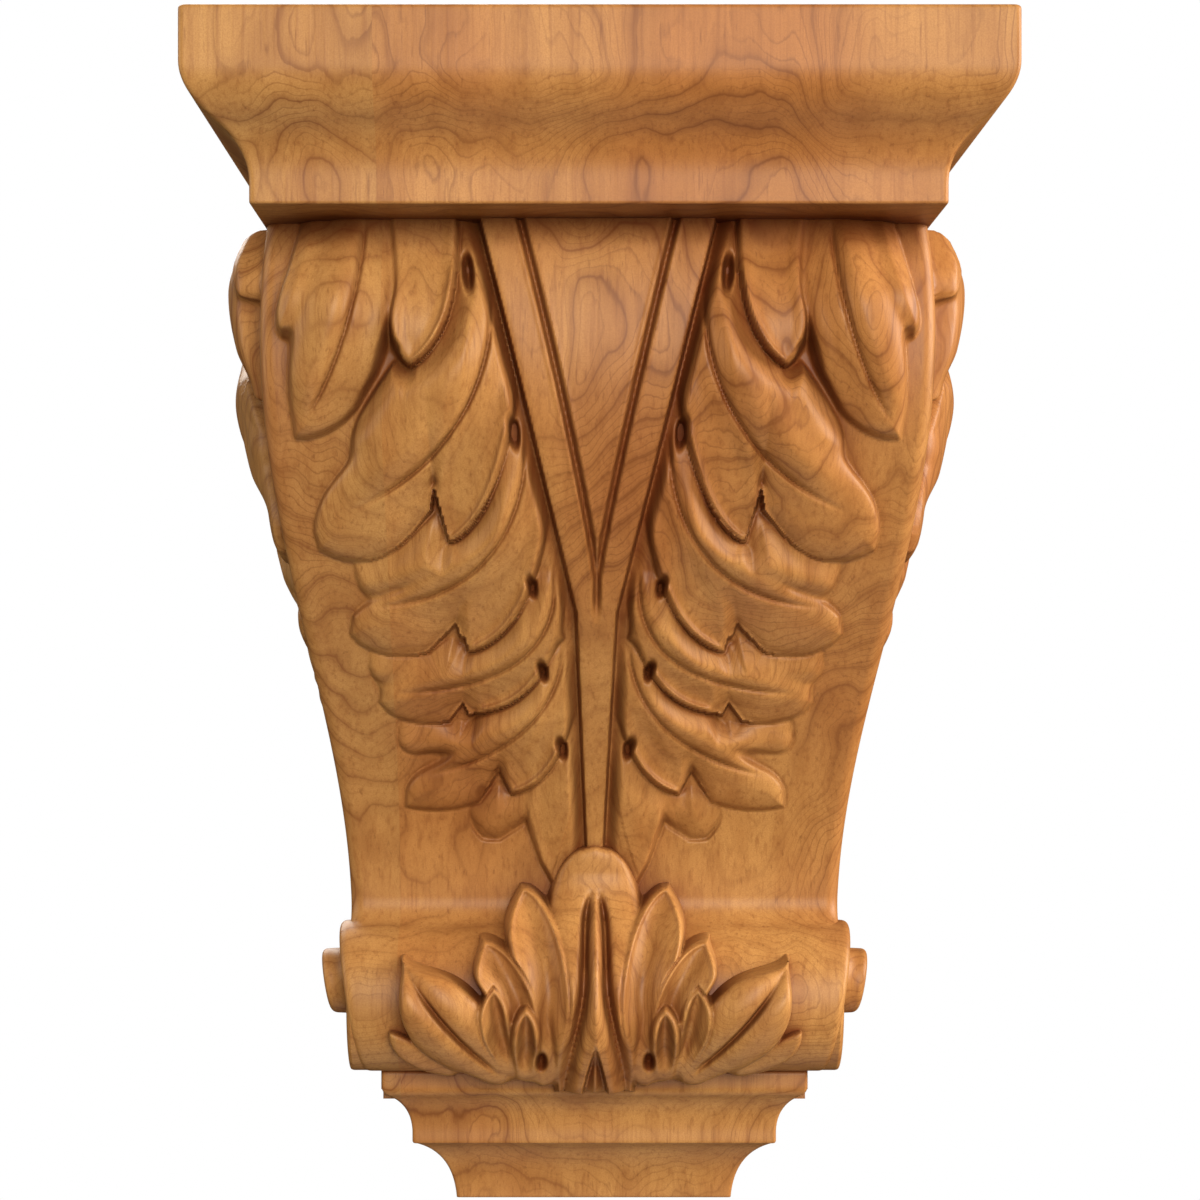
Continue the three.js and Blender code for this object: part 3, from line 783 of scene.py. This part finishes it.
def grid_normals(grid, mirror):
    """Normals of a grid from the slopes between neighbouring points. On a mirror seam at column 0
    the sideways part is 0, so that the two halves meet without a crease."""
    down = np.gradient(grid, axis=0)
    over = np.gradient(grid, axis=1)
    normal = np.cross(over, down)
    if mirror:
        normal[:, 0, 0] = 0
    return normal / np.maximum(np.linalg.norm(normal, axis=-1, keepdims=True), 1e-12)


row_gap = 0.52
levels = np.linspace(body_foot, cap_underside, int((cap_underside - body_foot) / row_gap))
places, turns, part_at = body_columns()
body_skin = body_surface(levels, places, turns)
body_normals = grid_normals(body_skin, True)
front_back_y = 14 - hollow_depth
body_sheets = [("front", levels > roll_z + 4, slice(0, part_at + 1), 1, front_back_y),
               ("side", slice(None), slice(part_at, None), 0, 0)]
for hand, side_name in ((1, "right"), (-1, "left")):
    for kind, rows, columns, axis, plane in body_sheets:
        skin = body_skin[rows, columns][:, ::hand] * [hand, 1, 1]
        normals = body_normals[rows, columns][:, ::hand] * [hand, 1, 1]
        grids, flats = closed_to_plane(skin, axis, plane)
        dress(carved_piece(f"{kind}_leaf_{side_name}", grids, flats, normals))

# The roll lies across the front under the body like the end of a scroll. It is turned and carved
# in the block, its end faces lean in with the body's sides and carry a shallow spiral channel
# round a raised button, which sits a little above the roll's middle.
roll_half_length = 77.4
roll_lean = 0.16
button_rise = 4.7
button_radius = 10.2
button_stand_out = 7.2
channel_gap = 8.0
channel_depth = 1.8


def roll_profile():
    """Half of the roll's outline: radius and how far it stands out from the end face, from the
    button's centre out over the edge to the middle of the roll (as a negative stand-out)."""
    button = bezier([button_radius - 2.5, button_stand_out], [button_radius, button_stand_out],
                    [button_radius, button_stand_out - 2.5], 8)
    face = np.column_stack([np.linspace(button_radius + 0.2, roll_radius - 3.2, 30), np.zeros(30)])
    edge = bezier([roll_radius - 3, 0], [roll_radius, 0], [roll_radius, -3], 9)
    crown_radius = np.linspace(1.5, button_radius - 2.9, 5)
    crown = np.column_stack([crown_radius, np.full(5, button_stand_out)])
    return np.concatenate([crown, button, face, edge])


def roll_surface():
    """The roll round its axis, from one button's centre to the other's. The channel on an end
    face is a cosine hollow whose middle winds out by one gap a turn, like a scroll. Rings near
    the button are moved up with it, and the shift dies out towards the edge."""
    half = roll_profile()
    angle = np.linspace(0, 2 * math.pi, 145)
    radius, out = half[:, 0][:, None], half[:, 1][:, None]
    on_face = (radius > button_radius) & (out >= 0)
    winding = (radius - button_radius) / channel_gap - angle[None] / (2 * math.pi)
    channel = 0.5 - 0.5 * np.cos(2 * math.pi * winding)
    fade = smooth_step(button_radius, button_radius + 1.5, radius) * (1 - smooth_step(
        roll_radius - 4.2, roll_radius - 3, radius))
    sunk = out + np.where(on_face, -channel_depth * channel * fade, 0)
    lift = button_rise * (1 - smooth_step(button_radius, roll_radius - 1, radius))
    y = -roll_from_wall - radius * np.cos(angle)
    z = roll_z + lift + radius * np.sin(angle)
    end = roll_half_length + roll_lean * (z - roll_z) + sunk
    right = np.stack([end, y, z], -1)
    left = right[::-1] * [-1, 1, 1]
    between = [mix(right[-1], left[0], share) for share in np.linspace(0, 1, 22)[1:-1]]
    return np.concatenate([right, np.array(between), left])


roll_skin = roll_surface()
roll = carved_piece("roll_and_buttons", [roll_skin], [roll_skin[0, :-1][::-1], roll_skin[-1, :-1]])
dress(roll)

# A small upright acanthus grows from under the roll over its front and hides the strap's end: a
# domed husk split by two stems, and six lobes on each hand, carved in the block with the rest.
cover = 4.5
husk_rise = 9.5
husk = ([0, 11.2], [0, 22.0], [0, 33.2], 12.4, 12.4, 0.68, 0.68, 0.8, 0.8, 0.5, 0.5)
# Each lobe's kind and rise in mm, and its course and widths as in the groups above
upright_lobes = [
    ("low", 3.5, (
        [38.2, 13.1], [49.7, 14.2], [55.6, 17.1], 3.2, 3.2, 0.5, 0.5, 0.6, 0.6, 0.8, 0.8)),
    ("dish", 9.5, (
        [14.2, 11.8], [8.0, 21.4], [20.3, 29.6], 5.9, 8.3, 0.5, 0.72, 0.6, 0.6, 0.54, 1.0)),
    ("dish", 9.0, (
        [15.0, 14.6], [20.3, 21.4], [30.9, 25.2], 4.6, 7.5, 0.5, 0.7, 0.5, 0.5, 0.8, 1.5)),
    ("big", 9.0, (
        [23.8, 12.3], [41.8, 17.5], [52.1, 23.5], 10.7, 9.7, 0.5, 0.5, 0.4, 0.4, 1.8, 1.8)),
    ("dish", 8.5, (
        [22.6, 13.0], [26.2, 17.5], [27.5, 21.4], 3.0, 5.4, 0.6, 0.5, 0.6, 0.6, 1.0, 1.1)),
    ("dish", 9.5, (
        [18.9, 12.3], [18.5, 16.1], [18.7, 19.5], 3.5, 3.8, 0.5, 0.5, 0.8, 0.8, 0.9, 0.9)),
]
upright_eye = (14.7, 14.4, 2.6, 1.4)
upright_eye_depth = 8


def upright_body(kind, rise, t, u, edge, half):
    """Height of an upright lobe's top at share t along it and u mm towards the middle, where half
    is its half width in mm. Dished lobes have a thin raised rim, the big one is folded along a
    vein, and all rise towards their tips."""
    body = rise * (0.5 + 0.55 * smooth_step(0, 0.8, t))
    body = body - 0.9 * np.exp(-np.clip(edge, 0, None) / 0.7)
    aside = u / half
    if kind == "dish":
        lives = smooth_step(0.1, 0.4, t) * (1 - 0.5 * smooth_step(0.7, 1, t))
        body = body - 5.2 * bell(aside, 0.6) * lives
        body = body + 1.3 * bell(edge - 1.1, 0.8) * smooth_step(0.05, 0.3, t)
    if kind == "big":
        vein = (1 - smooth_step(0.6, 0.85, t)) * smooth_step(0.05, 0.2, t)
        swell = np.sin(math.pi * np.clip(np.abs(aside), 0, 1) ** 0.8)
        body = body - 2.4 * bell(u, 0.8) * vein
        body = body + 2.0 * swell * smooth_step(0.1, 0.4, t)
        body = body - 1.2 * smooth_step(0.3, 1, -aside)
    return body


def husk_body(x, z, edge):
    """Height of the husk's top: a dome that two grooves part into flanks and a stem between them.
    The grooves run down from near its top, spread apart, and the stem forks at its foot."""
    groove_head = placed([0, 29])[1]
    stem_fork = placed([0, 16.2])[1]
    fork_length = 16
    groove_deep = 5.4
    slot_deep = 7
    body = husk_rise * (1 - 0.2 * (x / 14) ** 2) - 1.4 * np.exp(-np.clip(edge, 0, None) / 1.6)
    below = groove_head - z
    fades = smooth_step(-2, 8, below)
    parted = 1.1 + 2.1 * (1 - np.exp(-np.clip(below, 0, None) / 6))
    parted = parted + 6.4 * smooth_step(24, 66, below)
    body = body - groove_deep * fades * bell(x - parted, mix(1.3, 2.3, smooth_step(10, 60, below)))
    body = body - 1.2 * fades * (x > parted) * np.exp(-(x - parted) / 4)
    body = body + 1.2 * fades * bell(x, 1.4)
    fork = (stem_fork - z) / fork_length
    gap = 3.6 * np.clip(fork, 0, 1)
    wedge = 2.2 * np.clip(fork * 2.2 - 0.5, 0, 1)
    wedge = wedge * np.clip(1.1 - x / np.maximum(gap - 0.9, 0.3), 0, 1)
    slot = slot_deep * np.clip(fork * 2, 0, 1) * (1 - smooth_step(gap - 0.5, gap + 0.5, x))
    return body - slot + wedge


def upright_surface(x, z):
    """The upright leaf as distances from the wall: lobes over an apron that bulges over the roll,
    and a floor that stays inside the roll and the foot where there is no leaf."""
    apron_reach = 40
    off = np.clip((z - roll_z) / apron_reach, -1, 1)
    apron = mix(hollow_depth, roll_from_wall + roll_radius + cover,
                np.cos(0.5 * math.pi * off) ** 1.3)
    ground = np.where(z > roll_z, plain_depth(z) + 1, foot_depth + cover)
    under = soft_max(apron, ground, 8)
    around = np.sqrt(np.clip(roll_radius ** 2 - (z - roll_z) ** 2, 0, None))
    floor = np.where(z > roll_z, body_depth(np.maximum(z, roll_z)), roll_from_wall + around)
    floor = np.where(z < roll_z, np.maximum(floor, foot_depth), floor) - 3.0
    floor = np.where(z < bottom + foot_height - foot_band + 2, foot_depth - 12, floor)
    across = np.abs(x)
    edge = np.minimum(lobe_edge(across, z, husk), z - placed(husk[0])[1])
    edges = [edge]
    husk_top = husk_body(across, z, edge) + 2 * np.minimum(edge, 0)
    body = np.where(edge > -6, husk_top, far_outside)
    for kind, rise, lobe in upright_lobes:
        edge = lobe_edge(across, z, lobe, True)
        edges.append(edge)
        near = edge > -4
        t, u = along_course(np.stack([across[near], z[near]], -1), *[placed(p) for p in lobe[:3]])
        half = 0.5 * (lobe[3] + lobe[4]) / 100 * half_width
        gap = edge[near]
        steep = mix(0.8, 5, smooth_step(0.15, 0.45, t))
        top_of_lobe = upright_body(kind, rise, t, u, gap, half) + steep * np.minimum(gap, 0)
        over = smooth_step(-0.3, 0.4, gap) * smooth_step(0.15, 0.5, t)
        body[near] = mix(soft_max(body[near], top_of_lobe, 1.2), top_of_lobe, over)
    edge = joined(edges, 0.8)
    relief = body - 0.8 * np.exp(-np.clip(edge, 0, None) / 0.8) + 5 * np.minimum(edge, 0)
    relief = drilled(relief, across, z, upright_eye, upright_eye_depth, 0, 1.5)
    return np.maximum(floor, under - cover / 2 + relief)


leaf_gap = 0.45
leaf_reach = 68
leaf_foot = bottom + 34
leaf_length = 88
leaf_x = np.linspace(-leaf_reach, leaf_reach, int(2 * leaf_reach / leaf_gap) // 2 * 2 + 1)
leaf_z = np.linspace(leaf_foot, leaf_foot + leaf_length, int(leaf_length / leaf_gap))
leaf_x, leaf_z = np.meshgrid(leaf_x, leaf_z)
leaf_skin = np.stack([leaf_x, -upright_surface(leaf_x, leaf_z), leaf_z], -1)
grids, flats = closed_to_plane(leaf_skin, 1, -(foot_depth - 16))
upright_leaf = carved_piece("upright_leaf", grids, flats, grid_normals(leaf_skin, False))
dress(upright_leaf)

# The picture: a pale floor well below the hung corbel, soft studio lights in front, and the
# camera where the photograph was taken from.
floor_reach = 1.2
floor_z = -2.5
floor_corners = [(floor_reach * x, floor_reach * y, floor_z)
                 for x, y in ((-1, -1), (1, -1), (1, 1), (-1, 1))]
floor_mesh = bpy.data.meshes.new("studio_floor")
floor_mesh.from_pydata(floor_corners, [], [(0, 1, 2, 3)])
floor = bpy.data.objects.new("studio_floor", floor_mesh)
bpy.context.collection.objects.link(floor)
# Matt pale studio paint, which gives an even, shadowless ground
paint = bpy.data.materials.new("matt pale studio paint")
paint.use_nodes = True
paint_shader = paint.node_tree.nodes["Principled BSDF"]
paint_shader.inputs["Base Color"].default_value = linear("#F1EFEC")
paint_shader.inputs["Roughness"].default_value = 0.9
floor_mesh.materials.append(paint)


lamp_white = "#FFF6EA"


def soft_light(name, place, aim, size, power):
    """A square area light of a size in m and a power in W at place, turned to aim."""
    data = bpy.data.lights.new(name, "AREA")
    data.size = size
    data.energy = power
    data.color = linear(lamp_white)[:3]
    lamp = bpy.data.objects.new(name, data)
    lamp.location = place
    way = np.array(aim, float) - np.array(place, float)
    flat = math.hypot(way[0], way[1])
    lamp.rotation_euler = (math.atan2(flat, -way[2]), 0, math.atan2(way[1], way[0]) - math.pi / 2)
    bpy.context.collection.objects.link(lamp)


soft_light("key", (0.4, -2.6, 0.45), (0, -0.1, 0), 1.5, 99)
soft_light("side_right", (2.4, -0.35, 0.7), (0.05, -0.1, 0), 1.5, 122)
soft_light("side_left", (-2.4, -0.35, 0.7), (-0.05, -0.1, 0), 1.5, 26)
soft_light("behind", (-0.9, 2.4, 1.9), (0, 0, 0), 2.0, 110)

world = bpy.data.worlds.new("white studio")
bpy.context.scene.world = world
world.use_nodes = True
sky = world.node_tree
sky_light = sky.nodes["Background"]
sky_light.inputs["Color"].default_value = linear("#FFD9B8")
sky_light.inputs["Strength"].default_value = 0.03
sky_seen = add_node(sky, "ShaderNodeBackground",
                    values={"Color": linear("#FFFFFF"), "Strength": 1.0})
ray = add_node(sky, "ShaderNodeLightPath")
both = add_node(sky, "ShaderNodeMixShader", links={
    0: ray.outputs["Is Camera Ray"], 1: sky_light.outputs[0], 2: sky_seen.outputs[0]})
sky.links.new(both.outputs[0], sky.nodes["World Output"].inputs["Surface"])
bpy.context.scene.view_settings.view_transform = "Standard"

# The photograph's view: 700 mm in front of the cap, a little left of its middle and level with the
# body, with the picture's centre 35 px right of and 80 px above the point straight ahead.
picture_px = 1200
focal_px = 2589
ahead_right_px = 35
ahead_up_px = 80
film_width = 36
from_cap = 700
camera_x = -9.4
camera_z = -7.0
camera_data = bpy.data.cameras.new("camera")
camera_data.sensor_width = film_width
camera_data.lens = film_width * focal_px / picture_px
camera = bpy.data.objects.new("camera", camera_data)
camera.location = (camera_x * 0.001, -(depth + from_cap) * 0.001, camera_z * 0.001)
camera.rotation_euler = (math.pi / 2, 0, 0)
camera_data.shift_x = ahead_right_px / picture_px
camera_data.shift_y = ahead_up_px / picture_px
bpy.context.collection.objects.link(camera)
bpy.context.scene.camera = camera
